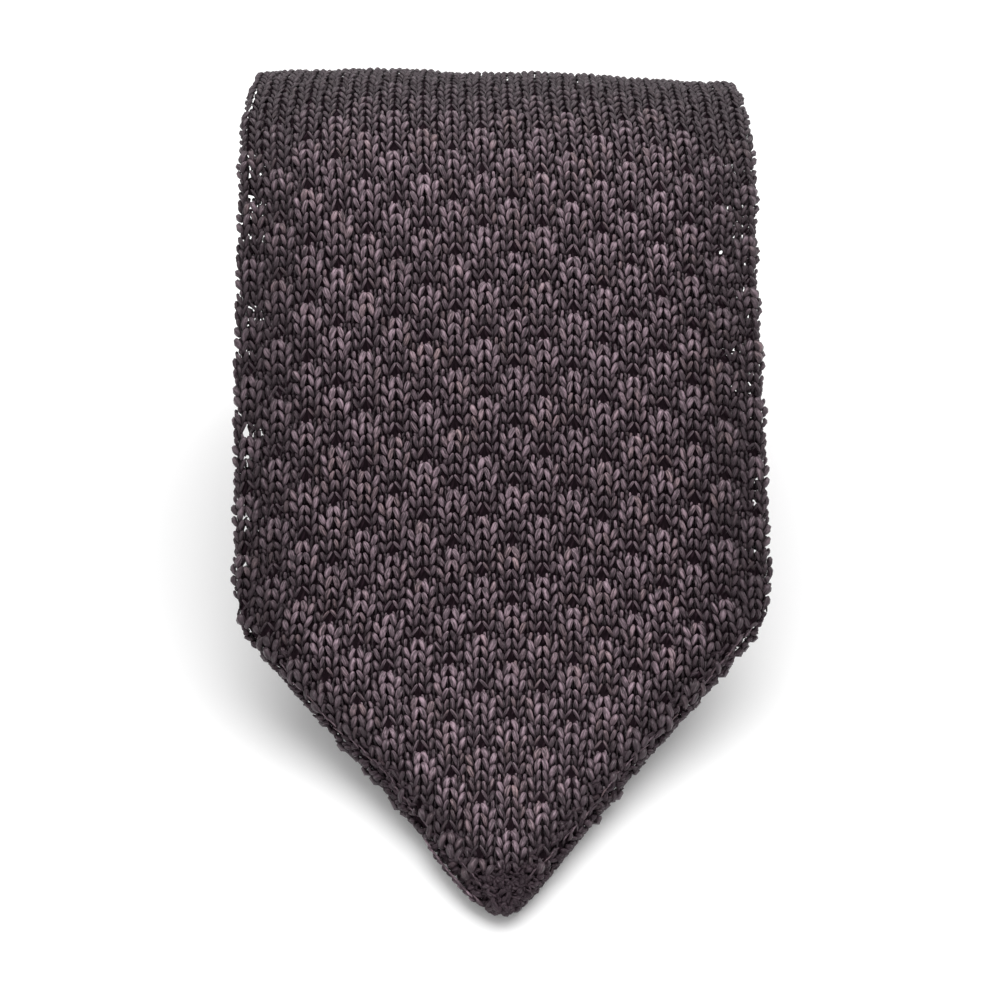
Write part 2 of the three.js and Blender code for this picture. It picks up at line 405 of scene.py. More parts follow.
# Faces of one leg with the place of each corner along and round it: rows of four-sided faces
# between the rings, and a fan at each pole.
def legTemplate(rings, sides):
    count = len(rings)
    j, k = (a.ravel() for a in np.meshgrid(np.arange(count - 1), np.arange(sides), indexing="ij"))
    after = (k + 1) % sides
    here, above = j * sides, (j + 1) * sides
    quads = np.stack([here + k, here + after, above + after, above + k], axis=1)
    ring = np.asarray(rings)
    quadMap = np.stack([
        np.stack([ring[j], k / sides], 1), np.stack([ring[j], (k + 1) / sides], 1),
        np.stack([ring[j + 1], (k + 1) / sides], 1), np.stack([ring[j + 1], k / sides], 1),
    ], axis=1)
    k = np.arange(sides)
    after = (k + 1) % sides
    first, last = count * sides, count * sides + 1
    topFan = np.stack([first + 0 * k, after, k], axis=1)
    top = np.stack([
        np.stack([0 * k, (k + 0.5) / sides], 1),
        np.stack([0 * k + ring[0], (k + 1) / sides], 1),
        np.stack([0 * k + ring[0], k / sides], 1),
    ], axis=1)
    end = (count - 1) * sides
    footFan = np.stack([last + 0 * k, end + k, end + after], axis=1)
    foot = np.stack([
        np.stack([0 * k + 1.0, (k + 0.5) / sides], 1),
        np.stack([0 * k + ring[-1], k / sides], 1),
        np.stack([0 * k + ring[-1], (k + 1) / sides], 1),
    ], axis=1)
    corners = np.concatenate([quads.ravel(), topFan.ravel(), footFan.ravel()])
    cornerMap = np.concatenate([quadMap.reshape(-1, 2), top.reshape(-1, 2), foot.reshape(-1, 2)])
    sizes = np.concatenate([np.full(len(quads), 4), np.full(2 * sides, 3)])
    place = np.arange(len(corners))
    split = quads.size
    turnedOver = np.concatenate([place[:split].reshape(-1, 4)[:, ::-1].ravel(),
                                 place[split:].reshape(-1, 3)[:, ::-1].ravel()])
    return corners, cornerMap, sizes, turnedOver


def makeMesh(name, points, corners, sizes, maps, toneAndShade=None):
    mesh = bpy.data.meshes.new(name)
    mesh.vertices.add(len(points))
    mesh.vertices.foreach_set("co", (points * 0.001).astype(np.float32).ravel())
    mesh.loops.add(len(corners))
    mesh.loops.foreach_set("vertex_index", corners.astype(np.int32))
    mesh.polygons.add(len(sizes))
    mesh.polygons.foreach_set("loop_start", np.concatenate([[0], np.cumsum(sizes)[:-1]]).astype(np.int32))
    mesh.polygons.foreach_set("use_smooth", np.ones(len(sizes), bool))
    for mapName, places in maps.items():
        mesh.uv_layers.new(name=mapName).uv.foreach_set("vector", places.astype(np.float32).ravel())
    if toneAndShade is not None:
        attribute = mesh.attributes.new("yarnToneAndShade", "FLOAT_VECTOR", "POINT")
        attribute.data.foreach_set("vector", toneAndShade.astype(np.float32).ravel())
    mesh.update(calc_edges=True)
    piece = bpy.data.objects.new(name, mesh)
    bpy.context.scene.collection.objects.link(piece)
    return piece


triangles = []
# Where a leg's girth is given along it
fineRings = (0.05, 0.25, 0.5, 0.75, 0.95)
crestRings = (0.07, 0.30, 0.62, 0.92)
plainRings = (0.1, 0.5, 0.9)

# How much of a leg's tone is shared with its neighbours, and how much is its own
toneShares = {"lightPatch": 0.13, "warmMiddle": 0.42, "warmPatch": 0.26, "own": 0.36}


# A piece of many legs: place turns chart coordinates into the row frame. Where it mirrors a leg, the
# order of the corners of that leg's faces is turned over.
def makeYarnPiece(name, legs, place, rings, sides, material):
    points = legPoints(legs, rings, sides)
    count, each = points.shape[:2]
    across, along, height = (points[..., i] for i in range(3))
    placed = place(across, along, height)
    corners, cornerMap, sizes, turnedOver = legTemplate(rings, sides)
    first = len(rings) // 2 * sides
    ring = placed[:, first:first + sides]
    centre = ring.mean(axis=1)
    turning = np.cross(ring[:, 0] - centre, ring[:, 1] - centre)
    inverted = np.einsum("ij,ij->i", turning, placed[:, -1] - placed[:, -2]) < 0
    order = np.where(inverted[:, None], turnedOver, np.arange(len(corners)))
    allCorners = (corners[order] + each * np.arange(count)[:, None]).ravel()
    legMap = cornerMap[order]
    run = np.abs(legs["topAlong"] - legs["footAlong"])
    yarnRun = legMap * np.stack([run, np.full(count, 1.0)], axis=1)[:, None, :]
    yarnRun = yarnRun + chance.uniform(0, 40, (count, 1, 2))
    # For baking, each leg has its own cell of a square grid.
    cells = math.ceil(math.sqrt(count))
    cell = np.stack([np.arange(count) % cells, np.arange(count) // cells], axis=1)
    baked = (cell[:, None, :] + 0.06 + 0.88 * legMap[..., ::-1]) / cells
    toneAndShade = np.empty((count, each, 3))
    # Legs near each other share some of their tone, in patches a few millimetres wide.
    a, b = legs["topAcross"][:, None], legs["topAlong"][:, None]
    patch = np.sin(a / 1.7 + 2 * np.sin(b / 3.9)) * np.sin(b / 1.6 + 1.3 * np.sin(a / 2.9))
    warmPatch = np.sin(a / 2.3 + 1.7 * np.sin(b / 2.7) + 2) * np.sin(b / 2.1 + a / 4.1)
    own = toneShares["own"]
    light = 0.5 + toneShares["lightPatch"] * patch + chance.uniform(-own, own, (count, 1))
    warm = toneShares["warmMiddle"] + toneShares["warmPatch"] * warmPatch
    toneAndShade[..., 0] = np.clip(light, 0, 1)
    toneAndShade[..., 1] = np.clip(warm + chance.uniform(-own, own, (count, 1)), 0, 1)
    # The third channel is painted shade: the yarn's height in the cloth, lowered by the shade given to each
    # leg.
    toneAndShade[..., 2] = height - legs["paintedShade"][:, None]
    maps = {"yarnRun": yarnRun.reshape(-1, 2), "OFBake": baked.reshape(-1, 2)}
    piece = makeMesh(
        name, placed.reshape(-1, 3), allCorners, np.tile(sizes, count), maps, toneAndShade.reshape(-1, 3))
    piece.data.materials.append(material)
    triangles.append(int((sizes - 2).sum()) * count)
    print(f"{name}: {count} legs, {triangles[-1]} triangles")
    return piece


# The tube is narrower further up, and so are its wales.
def placeOnTube(girth, along, height):
    half = fullHalfWidth(along)
    bend = (math.pi - 2) * edgeRadius
    scale = (2 * half + bend) / (tie["bladeWidth"] + bend)
    across, lifted = roundTube(girth * scale, height, half)
    return onTie(across, along, lifted)


# The wide end, with the tube's open end turned under to make the point.
def placeOnBlade(girth, along, height):
    across, lifted = roundTube(girth, height, fullHalfWidth(along))
    return onTie(*foldPoint(across, along, lifted))


def addNode(tree, kind, **settings):
    node = tree.nodes.new(kind)
    for name, value in settings.items():
        setattr(node, name, value)
    return node


# A socket takes another node's output, or a value of its own.
def feed(tree, value, socket):
    if isinstance(value, bpy.types.NodeSocket):
        tree.links.new(value, socket)
    else:
        socket.default_value = value


def calculate(tree, operation, *values, clamp=False):
    node = addNode(tree, "ShaderNodeMath", operation=operation, use_clamp=clamp)
    for value, socket in zip(values, node.inputs):
        feed(tree, value, socket)
    return node.outputs[0]


def mapRange(tree, value, low, high, toLow=0.0, toHigh=1.0, shape="LINEAR"):
    node = addNode(tree, "ShaderNodeMapRange", interpolation_type=shape)
    for name, number in (("Value", value), ("From Min", low), ("From Max", high),
                         ("To Min", toLow), ("To Max", toHigh)):
        feed(tree, number, node.inputs[name])
    return node.outputs["Result"]


def mixColours(tree, share, first, second):
    node = addNode(tree, "ShaderNodeMix", data_type="RGBA")
    for name, value in (("Factor", share), ("A", first), ("B", second)):
        feed(tree, value, node.inputs[name])
    return node.outputs["Result"]


def addBump(tree, height, strength, distance):
    bump = addNode(tree, "ShaderNodeBump")
    for name, value in (("Height", height), ("Strength", strength), ("Distance", distance)):
        feed(tree, value, bump.inputs[name])
    return bump.outputs["Normal"]


def startMaterial(name):
    material = bpy.data.materials.new(name)
    material.use_nodes = True
    tree = material.node_tree
    tree.nodes.clear()
    output = addNode(tree, "ShaderNodeOutputMaterial")
    shader = addNode(tree, "ShaderNodeBsdfPrincipled")
    tree.links.new(shader.outputs[0], output.inputs["Surface"])
    return material, tree, shader.inputs


# Fibres that run along the yarn: a noise stretched along the leg, its light and dark mixed with the
# leg's own tone, and painted shade that darkens the yarn deep in the cloth and where a leg is given more.
fibres = {
    "stretch": (1.0, 6.0, 1.0),  # how fine the noise is along and round the yarn
    "detail": 2.5,
    "grain": 0.6,
    "contrast": (0.43, 0.585),
    "heights": (0.05, 1.50),  # the millimetres of height over which the painted shade deep in the cloth fades out
    # the share of the fibres' colour left under the deepest painted shade
    "deepShadeShare": 0.13,
    "fibreShare": 0.74,
    "legShare": 0.30,
    "warmFrom": 0.55,
    "warmShare": 0.7,
    "roughness": (0.58, 0.32),  # of the dark fibres and the light ones
}


def makeFibreGroup(settings):
    group = bpy.data.node_groups.new("yarnFibres", "ShaderNodeTree")
    inputs = {"Run": "Vector", "ToneAndShade": "Vector", "Dark": "Color", "Light": "Color", "Warm": "Color"}
    outputs = {"Colour": "Color", "Height": "Float", "Rough": "Float"}
    for way, sockets in (("INPUT", inputs), ("OUTPUT", outputs)):
        for name, kind in sockets.items():
            group.interface.new_socket(name, in_out=way, socket_type="NodeSocket" + kind)
    start = addNode(group, "NodeGroupInput").outputs
    end = addNode(group, "NodeGroupOutput").inputs
    twist = addNode(group, "ShaderNodeVectorMath", operation="MULTIPLY")
    feed(group, start["Run"], twist.inputs[0])
    feed(group, settings["stretch"], twist.inputs[1])
    noise = addNode(group, "ShaderNodeTexNoise")
    for name, value in (("Vector", twist.outputs[0]), ("Scale", 1.0), ("Detail", settings["detail"]),
                        ("Roughness", settings["grain"])):
        feed(group, value, noise.inputs[name])
    streaks = mapRange(group, noise.outputs["Fac"], *settings["contrast"])
    toneAndShade = addNode(group, "ShaderNodeSeparateXYZ")
    feed(group, start["ToneAndShade"], toneAndShade.inputs[0])
    # Painted shade: the lower the yarn lies in the cloth, and the more shade it is given, the more of its
    # colour goes to the dark one.
    depth = mapRange(
        group, toneAndShade.outputs["Z"], *settings["heights"], settings["deepShadeShare"], shape="SMOOTHSTEP")
    own = mapRange(group, toneAndShade.outputs["X"], 0.0, 1.0, 0.0, settings["legShare"])
    share = calculate(group, "MULTIPLY_ADD", streaks, settings["fibreShare"], own)
    share = calculate(group, "MULTIPLY", share, depth, clamp=True)
    warm = mapRange(group, toneAndShade.outputs["Y"], settings["warmFrom"], 1.0, 0.0, settings["warmShare"])
    light = mixColours(group, warm, start["Light"], start["Warm"])
    feed(group, mixColours(group, share, start["Dark"], light), end["Colour"])
    feed(group, streaks, end["Height"])
    feed(group, mapRange(group, streaks, 0.0, 1.0, *settings["roughness"]), end["Rough"])
    return group


fibreGroup = makeFibreGroup(fibres)

# The finish of the yarn, and a matter one for the yarn at the rim and the tip, whose dark colour is deeper
# as painted shade
yarnFinish = {
    # the dark fibres, and the painted shade deep in the cloth
    "dark": (0.019, 0.009, 0.014, 1),
    "light": (0.378, 0.266, 0.320, 1),
    "warm": (0.410, 0.272, 0.274, 1),
    "sheen": 0.03,
    "sheenRoughness": 0.5,
    "gloss": 0.44,
    "bump": 0.8,
    "bumpDepth": 0.0001,
}
# The rim and the tip: less gloss, and a darker dark colour as painted shade
mattShadedFinish = {**yarnFinish, "dark": (0.014, 0.007, 0.011, 1), "sheen": 0.0, "gloss": 0.20}


def makeYarnMaterial(name, settings):
    material, tree, surface = startMaterial(name)
    runMap = addNode(tree, "ShaderNodeUVMap", uv_map="yarnRun")
    toneAndShade = addNode(tree, "ShaderNodeAttribute", attribute_name="yarnToneAndShade")
    streaks = addNode(tree, "ShaderNodeGroup", node_tree=fibreGroup)
    feed(tree, runMap.outputs["UV"], streaks.inputs["Run"])
    feed(tree, toneAndShade.outputs["Vector"], streaks.inputs["ToneAndShade"])
    for socket, key in (("Dark", "dark"), ("Light", "light"), ("Warm", "warm")):
        streaks.inputs[socket].default_value = settings[key]
    normal = addBump(tree, streaks.outputs["Height"], settings["bump"], settings["bumpDepth"])
    feed(tree, streaks.outputs["Colour"], surface["Base Color"])
    feed(tree, streaks.outputs["Rough"], surface["Roughness"])
    feed(tree, normal, surface["Normal"])
    surface["Specular IOR Level"].default_value = settings["gloss"]
    surface["Sheen Weight"].default_value = settings["sheen"]
    surface["Sheen Roughness"].default_value = settings["sheenRoughness"]
    return material


yarnMaterial = makeYarnMaterial("maroonYarn", yarnFinish)
mattShadedMaterial = makeYarnMaterial("mattShadedYarn", mattShadedFinish)

# The cloth behind the stitches: the ground between the legs, painted near black as shade, and plain
# stitches in the yarn's own lighter colour on the inner faces of the roll's turns
groundFinish = {
    # painted shade: the ground seen between the legs
    "dark": (0.014, 0.008, 0.011, 1),
    "light": (0.036, 0.020, 0.028, 1),
    "rolledLight": (0.170, 0.120, 0.144, 1),
    "rolledFrom": (118.0, 142.0),  # along the tie
    "wale": 1.68,
    "row": 1.34,
    "lean": 1.3,
    "roughness": 0.9,
    "gloss": 0.05,
    "bump": 0.9,
    "bumpDepth": 0.0004,
}


# Plain stitches from the distance along and the place across: a wave along the tie, shifted by how far
# a place is from the middle of its wale, and lowered between the wale's two legs.
def makeGroundMaterial(settings):
    material, tree, surface = startMaterial("clothGround")
    place = addNode(tree, "ShaderNodeUVMap", uv_map="clothMap")
    parts = addNode(tree, "ShaderNodeSeparateXYZ")
    feed(tree, place.outputs["UV"], parts.inputs[0])
    along, across = parts.outputs["X"], parts.outputs["Y"]
    fromMiddle = calculate(tree, "PINGPONG", across, settings["wale"] / 2)
    slanted = calculate(tree, "MULTIPLY_ADD", fromMiddle, settings["lean"], along)
    row = calculate(tree, "PINGPONG", slanted, settings["row"] / 2)
    row = mapRange(tree, row, 0.0, settings["row"] / 2, shape="SMOOTHSTEP")
    leg = calculate(tree, "PINGPONG", across, settings["wale"] / 4)
    leg = mapRange(tree, leg, 0.0, settings["wale"] / 5, shape="SMOOTHSTEP")
    height = calculate(tree, "MULTIPLY", row, leg)
    rolled = mapRange(tree, along, *settings["rolledFrom"], shape="SMOOTHSTEP")
    light = mixColours(tree, rolled, settings["light"], settings["rolledLight"])
    feed(tree, mixColours(tree, height, settings["dark"], light), surface["Base Color"])
    feed(tree, addBump(tree, height, settings["bump"], settings["bumpDepth"]), surface["Normal"])
    surface["Roughness"].default_value = settings["roughness"]
    surface["Specular IOR Level"].default_value = settings["gloss"]
    return material


groundMaterial = makeGroundMaterial(groundFinish)

# The band: one closed body of cloth through the wide end and all the turns of the roll. It is thin and
# narrow behind the stitches, and full where only its edges show.
band = {
    "start": 1.0,  # inside the tip
    "tipRows": 50,
    "closeRows": (37, 110),  # where rows lie close, along the tie
    "closeStep": 0.38,
    "step": 1.6,
    "corners": 16,
    "square": (0.35, 0.8),  # how square the outline is, across and in height
    # Half the cloth's thickness, and how much deeper the folded point reaches
    "innerHalf": 0.70,
    "outerHalf": 0.12,
    "pointDepth": 2.0,
    "pointEnd": (28, 34),
    # How far the band's edge lies inside the tube's: at the point, up the wide end, round the outer turn,
    # and on the inner turns; and where each gives way to the next
    "pointMargin": 0.55,
    "edgeMargin": 0.45,
    "rollMargin": 0.35,
    "innerMargin": 0.75,
    "edgeFrom": (36, 42),
    "rollFrom": (100, 112),
    # Notches in each edge, where light comes through
    "notches": 26,
    "notchPlaces": (40, 92),
    "notchDepth": 4.0,
    "notchWidth": 0.40,
}
rollStart = int(np.searchsorted(tieLine["along"], leavesRoll))
outerTurnEnd = float(tieLine["along"][rollStart + 360])
print(f"outer turn ends at {outerTurnEnd:.0f} mm")


# A closed tube of cloth: at each distance a rounded flat outline, a circle whose sine and cosine are
# drawn to small powers, with its half width and thickness changing smoothly along the tie.
def makeBand(settings):
    tipAlong = pointApex + tie["tipRadius"] * (1 / pointRun[0] - 1)
    closeFrom, closeTo = settings["closeRows"]
    along = np.concatenate([
        np.linspace(tipAlong + settings["start"], closeFrom, settings["tipRows"]),
        np.arange(closeFrom + 0.4, closeTo, settings["closeStep"]),
        np.arange(closeTo + 1, tieLength - 0.5, settings["step"]),
        [tieLength - 0.3],
    ])
    pointed = (along - pointApex) * pointRun[0] / pointRun[1]
    innerFrom = (outerTurnEnd, outerTurnEnd + 4)
    margin = (settings["pointMargin"]
              + (settings["edgeMargin"] - settings["pointMargin"]) * smooth(*settings["edgeFrom"], along)
              + (settings["rollMargin"] - settings["edgeMargin"]) * smooth(*settings["rollFrom"], along)
              + (settings["innerMargin"] - settings["rollMargin"]) * smooth(*innerFrom, along))
    half = np.maximum(np.minimum(fullHalfWidth(along), pointed) - margin, 0.25)
    halves = []
    for _ in range(2):
        place = chance.uniform(*settings["notchPlaces"], settings["notches"])[:, None]
        width = settings["notchWidth"] * chance.uniform(0.7, 1.4, settings["notches"])[:, None]
        depth = settings["notchDepth"] * chance.uniform(0.4, 1.0, settings["notches"])[:, None]
        notch = (depth * np.clip(1.4 - np.abs(along - place) / width, 0, 1)).max(axis=0)
        halves.append((half - notch)[:, None])
    inner = smooth(outerTurnEnd - 2, outerTurnEnd + 6, along)
    top = settings["outerHalf"] + (settings["innerHalf"] - settings["outerHalf"]) * inner
    deeper = settings["pointDepth"] - settings["outerHalf"]
    low = -top - deeper * (1 - smooth(*settings["pointEnd"], along))
    closing = smooth(-0.5, 1.2, tieLength - along)
    top, low = top * closing, low * closing
    count = settings["corners"]
    corner = np.linspace(0, 2 * math.pi, count, endpoint=False) + math.pi / count
    wide = np.sign(np.cos(corner)) * np.abs(np.cos(corner)) ** settings["square"][0]
    high = np.sign(np.sin(corner)) * np.abs(np.sin(corner)) ** settings["square"][1]
    rounding = np.minimum((top - low)[:, None] / 2, half[:, None])
    across = wide * (np.where(wide < 0, *halves) - rounding) + np.cos(corner) * rounding
    height = (top + low)[:, None] / 2 + high * (top - low)[:, None] / 2
    points = onTie(across, along[:, None] + 0 * across, height)
    rows, cols = points.shape[:2]
    j, k = (a.ravel() for a in np.meshgrid(np.arange(rows - 1), np.arange(cols), indexing="ij"))
    after = (k + 1) % cols
    quads = np.stack([j * cols + k, (j + 1) * cols + k, (j + 1) * cols + after, j * cols + after], axis=1)
    caps = np.concatenate([np.arange(cols), np.arange(cols)[::-1] + (rows - 1) * cols])
    corners = np.concatenate([quads.ravel(), caps])
    flatPlace = np.stack([along[:, None] + 0 * across, across], axis=-1).reshape(-1, 2)
    sizes = np.concatenate([np.full(len(quads), 4), [cols, cols]])
    piece = makeMesh("rolledBand", points.reshape(-1, 3), corners, sizes, {"clothMap": flatPlace[corners]})
    piece.data.materials.append(groundMaterial)
    print(f"rolledBand: {2 * len(quads)} triangles")
    return piece


rolledBand = makeBand(band)

# The front of the wide end, as far as it is seen over the top of the roll. The tube's open end is
# turned under to make the point, and near its rim the stitches are darkened by painted shade.
front = {
    "slopeFrom": 62.0,
    "crestFrom": 102.0,
    "end": 134.0,
    "crestShade": 0.95,  # painted shade on the stitches where they are stretched over the roll, as a depth taken off their height
    "crestShadeFrom": (88, 110),
    "crestShadeTo": (128, 160),
    "edgeShade": 0.66,  # painted shade near the side edges
    "edgeShadeAcross": (17.5, 29.5),  # across
    "edgeFrom": (30, 40),  # along
    "rimShade": 1.0,  # and painted shade at the rim
    "rimShadeWidth": 5.2,
    "rimInset": 0.15,  # legs closer to the rim are left out
    "shoulder": 38.5,
    "tipCrowd": (3.5, 8.5),  # between these distances the pattern gives way to crowded strands
    "underFrom": 12,  # where the turned corners show under the point
    "underTo": 40,
    "underInset": -1.2,
    "deepEnd": 122,
}
halfTube = tie["bladeWidth"] + (math.pi - 2) * edgeRadius
frontGirth = tie["bladeWidth"] / 2 - edgeRadius + math.pi * edgeRadius


# How much painted shade a stitch is given at a place on the outer turn: where it is stretched
# over the roll, and near the side edges.
def placePaintedShade(across, along):
    overRoll = smooth(*front["crestShadeFrom"], along) * (1 - smooth(*front["crestShadeTo"], along))
    nearEdge = smooth(*front["edgeShadeAcross"], np.abs(across)) * smooth(*front["edgeFrom"], along)
    return front["crestShade"] * overRoll + front["edgeShade"] * nearEdge


# The legs of a table on the front, with those beyond the rim of the point and at the tip left out.
def frontLegs(table, nearest):
    legs = chartLegs(table, nearest, front["end"], frontGirth)
    along = (legs["topAlong"] + legs["footAlong"]) / 2
    across = (legs["topAcross"] + legs["footAcross"]) / 2
    inside, _ = insidePoint(across, along)
    wraps = (np.abs(across) > tie["bladeWidth"] / 2 - edgeRadius) & (along < front["shoulder"])
    crowded = chance.uniform(0, 1, len(along)) > smooth(*front["tipCrowd"], along)
    # Painted shade near the rim of the point, added to that over the roll and near the side edges
    legs["paintedShade"] = front["rimShade"] * (1 - smooth(0, front["rimShadeWidth"], inside)) + placePaintedShade(across, along)
    shown = (inside > front["rimInset"]) & ~wraps & ~crowded
    return legs, along, across, shown


frontChart, along, across, shown = frontLegs(legTable, -4.0)
foldedAcross, _, _ = foldPoint(across, along, 0 * along + edgeRadius)
turnedUnder = ((insidePoint(across, along)[0] < front["underInset"]) & (along > front["underFrom"])
               & (along < front["underTo"]) & (np.sign(across) * foldedAcross > 0.5))
beforeSlope, beforeCrest = along < front["slopeFrom"], along < front["crestFrom"]
onSlope = ~beforeSlope & beforeCrest
pointStitches = makeYarnPiece(
    "pointStitches", pick(frontChart, shown & beforeSlope), placeOnBlade, fineRings, 6, yarnMaterial)
slopeStitches = makeYarnPiece(
    "slopeStitches", pick(frontChart, shown & onSlope), placeOnBlade, fineRings, 6, yarnMaterial)
crestStitches = makeYarnPiece(
    "crestStitches", pick(frontChart, shown & ~beforeCrest), placeOnBlade, crestRings, 5, yarnMaterial)
cornerStitches = makeYarnPiece(
    "cornerStitches", pick(frontChart, turnedUnder), placeOnBlade, plainRings, 4, yarnMaterial)
deepChart, along, across, shown = frontLegs(deepTable, 6.0)
shown = shown & (along < front["deepEnd"])
deepStrands = makeYarnPiece(
    "deepStrands", pick(deepChart, shown), placeOnBlade, plainRings, 3, yarnMaterial)

# The rest of the outer turn, and the back of the tube under the slope
plainTable = {name: row for name, row in legTable.items() if name not in ("tips", "leanThird")}
turnLegs = chartLegs(plainTable, front["end"], outerTurnEnd + 2, frontGirth + 6)
turnLegs["paintedShade"] = placePaintedShade(turnLegs["topAcross"], turnLegs["topAlong"])
turnStitches = makeYarnPiece("turnStitches", turnLegs, placeOnTube, plainRings, 4, yarnMaterial)
backLegs = chartLegs(plainTable, 31.0, leavesRoll + 4, halfTube)
backGirth = np.abs(backLegs["topAcross"] + backLegs["footAcross"]) / 2
backAlong = (backLegs["topAlong"] + backLegs["footAlong"]) / 2
shownBehind = (backGirth > frontGirth) & (insidePoint(halfTube - backGirth, backAlong)[0] > 2.0)
backStitches = makeYarnPiece(
    "backStitches", pick(backLegs, shownBehind), placeOnTube, plainRings, 3, yarnMaterial)


# Columns of numbers for strands that are laid singly: ends as (inset, run), and heights.
def makeStrands(top, foot, radius, heights, bow=0.0, paintedShade=0.0):
    count = len(top[0])
    values = {"topAcross": top[0], "topAlong": top[1], "footAcross": foot[0], "footAlong": foot[1],
              "radius": radius, "top": heights[0], "middle": heights[1], "foot": heights[2],
              "bow": bow, "paintedShade": paintedShade}
    return {name: np.broadcast_to(np.asarray(value, float), count).copy() for name, value in values.items()}


# Near its side edges nothing lies behind the wide end, and light comes through between the strands
# that cross inside the tube.
net = {
    "width": 6.2,
    "thicker": 1.7,
    "shift": 0.84,
    "flatter": 0.3,
    "middle": -0.25,
    "wander": 0.12,
    "flat": 0.45,
    "inset": 0.4,
    "from": 36.0,
    "pastTop": 14,
    "cordPitch": 0.95,
    "cordInset": 0.42,
    "cordRadius": 0.30,
    # painted shade on the cord
    "cordShade": 0.3,
}


def makeNetLegs(settings):
    end = leavesRoll + settings["pastTop"]
    legs = chartLegs(plainTable, settings["from"], end, tie["bladeWidth"] / 2 - settings["inset"])
    girth = np.abs(legs["topAcross"] + legs["footAcross"]) / 2
    legs = pick(legs, girth > tie["bladeWidth"] / 2 - settings["width"])
    for name in ("top", "middle", "foot"):
        legs[name] = settings["flat"] * (legs[name] * settings["flatter"] + settings["middle"])
    legs["radius"] = legs["radius"] * settings["thicker"]
    for name in ("topAcross", "footAcross"):
        wander = chance.normal(0, settings["wander"], len(legs["radius"]))
        legs[name] = legs[name] + settings["shift"] + wander
    legs = pick(legs, insidePoint(legs["topAcross"], legs["footAlong"])[0] > 1.0)
    # A strand inside each side edge runs along the whole of it.
    run, side = (a.ravel() for a in np.meshgrid(
        np.arange(settings["from"] + 0.5, end, settings["cordPitch"]), (-1, 1), indexing="ij"))
    girth = side * (tie["bladeWidth"] / 2 - settings["cordInset"]) + chance.normal(0, 0.06, len(run))
    cord = makeStrands((girth, run + 1.3), (girth, run), settings["cordRadius"], (0.0, 0.1, -0.1),
                       paintedShade=settings["cordShade"])
    return joinLegs(legs, cord)


netStrands = makeYarnPiece("netStrands", makeNetLegs(net), placeOnTube, plainRings, 3, yarnMaterial)


# Places along the rounded outline of the point: an arc round the tip, then a straight run up the
# edge, each moved inwards by the inset.
def alongOutline(inset, run):
    arc = math.atan2(pointRun[1], pointRun[0])
    centre = pointApex + tie["tipRadius"] / pointRun[0]
    angle = np.minimum(run / tie["tipRadius"], arc)
    past = np.maximum(run - tie["tipRadius"] * arc, 0)
    radius = tie["tipRadius"] - inset
    across = radius * np.sin(angle) + past * pointRun[0]
    return across, centre - radius * np.cos(angle) + past * pointRun[1]


# The rim of the point: a chain of round loops along the fold, a thin selvedge thread just inside it,
# and crowded strands between that thread and the pattern.
rim = {
    "length": 44.0,
    "loopPitch": 0.92,
    "loopRadius": 0.33,
    "loopOut": 0.60,
    # Painted shade given to the loops, the loops under them, the thread and the crowded strands
    "loopShade": 0.90,
    "underShade": 1.0,
    "threadFrom": 3.0,
    "threadPitch": 1.15,
    "threadRadius": 0.08,
    "threadInset": 0.55,
    "threadHidden": 0.35,  # the share of the thread that lies out of sight
    "threadShade": 0.20,
    "crowdPerMillimetre": 3.2,
    "crowdInset": (-0.5, 2.1),
    "crowdHalf": (0.40, 0.62),
    "crowdLift": (0.45, 0.80),
    "crowdRadius": (0.18, 0.28),
    "crowdShade": (0.80, 1.45),
}


def makeRimStrands(settings):
    start = np.arange(-0.8, settings["length"], settings["loopPitch"])
    start = start + chance.normal(0, 0.14, len(start))
    wave = chance.normal(0, 0.22, len(start))
    loops = makeStrands(
        (-0.30 + wave, start - 0.25), (-1.35 + wave, start + 0.65 + chance.normal(0, 0.12, len(start))),
        settings["loopRadius"] * (1 + chance.normal(0, 0.12, len(start))),
        (settings["loopOut"] - 0.10, settings["loopOut"] + 0.16 + wave, settings["loopOut"] - 0.22),
        bow=0.12, paintedShade=settings["loopShade"])
    under = makeStrands(
        (-1.75 + wave, start + 0.2), (-0.75 + wave, start + 1.15), settings["loopRadius"] * 0.95,
        (0.50, 0.66, 0.45), bow=-0.1, paintedShade=settings["underShade"])
    start = np.arange(settings["threadFrom"], settings["length"] - 2, settings["threadPitch"])
    start = start[chance.uniform(0, 1, len(start)) > settings["threadHidden"]]
    inset = settings["threadInset"] + 0.16 * np.sin(start / 2.7) + chance.normal(0, 0.05, len(start))
    inwards = inset + chance.normal(0, 0.12, len(start))
    thread = makeStrands(
        (inset, start), (inwards, start + settings["threadPitch"] * 1.35),
        settings["threadRadius"], (0.84, 0.96, 0.82), bow=0.08, paintedShade=settings["threadShade"])
    count = int(settings["length"] * settings["crowdPerMillimetre"])
    run = chance.uniform(1.5, settings["length"] - 4, count)
    inset = chance.uniform(*settings["crowdInset"], count)
    tilt = chance.normal(0.15, 0.35, count)
    half = chance.uniform(*settings["crowdHalf"], count)
    lift = chance.uniform(*settings["crowdLift"], count)
    crowd = makeStrands(
        (inset - half * np.sin(tilt), run + half * np.cos(tilt)),
        (inset + half * np.sin(tilt), run - half * np.cos(tilt)),
        chance.uniform(*settings["crowdRadius"], count), (lift - 0.12, lift + 0.14, lift - 0.3),
        bow=chance.normal(0, 0.12, count), paintedShade=chance.uniform(*settings["crowdShade"], count))
    return joinLegs(loops, under, thread, crowd)


# An under layer shows past the left edge near the tip: how far along the rim, and how far out.
peek = {"from": 2.2, "to": 11.5, "pitch": 0.95, "out": 0.30}


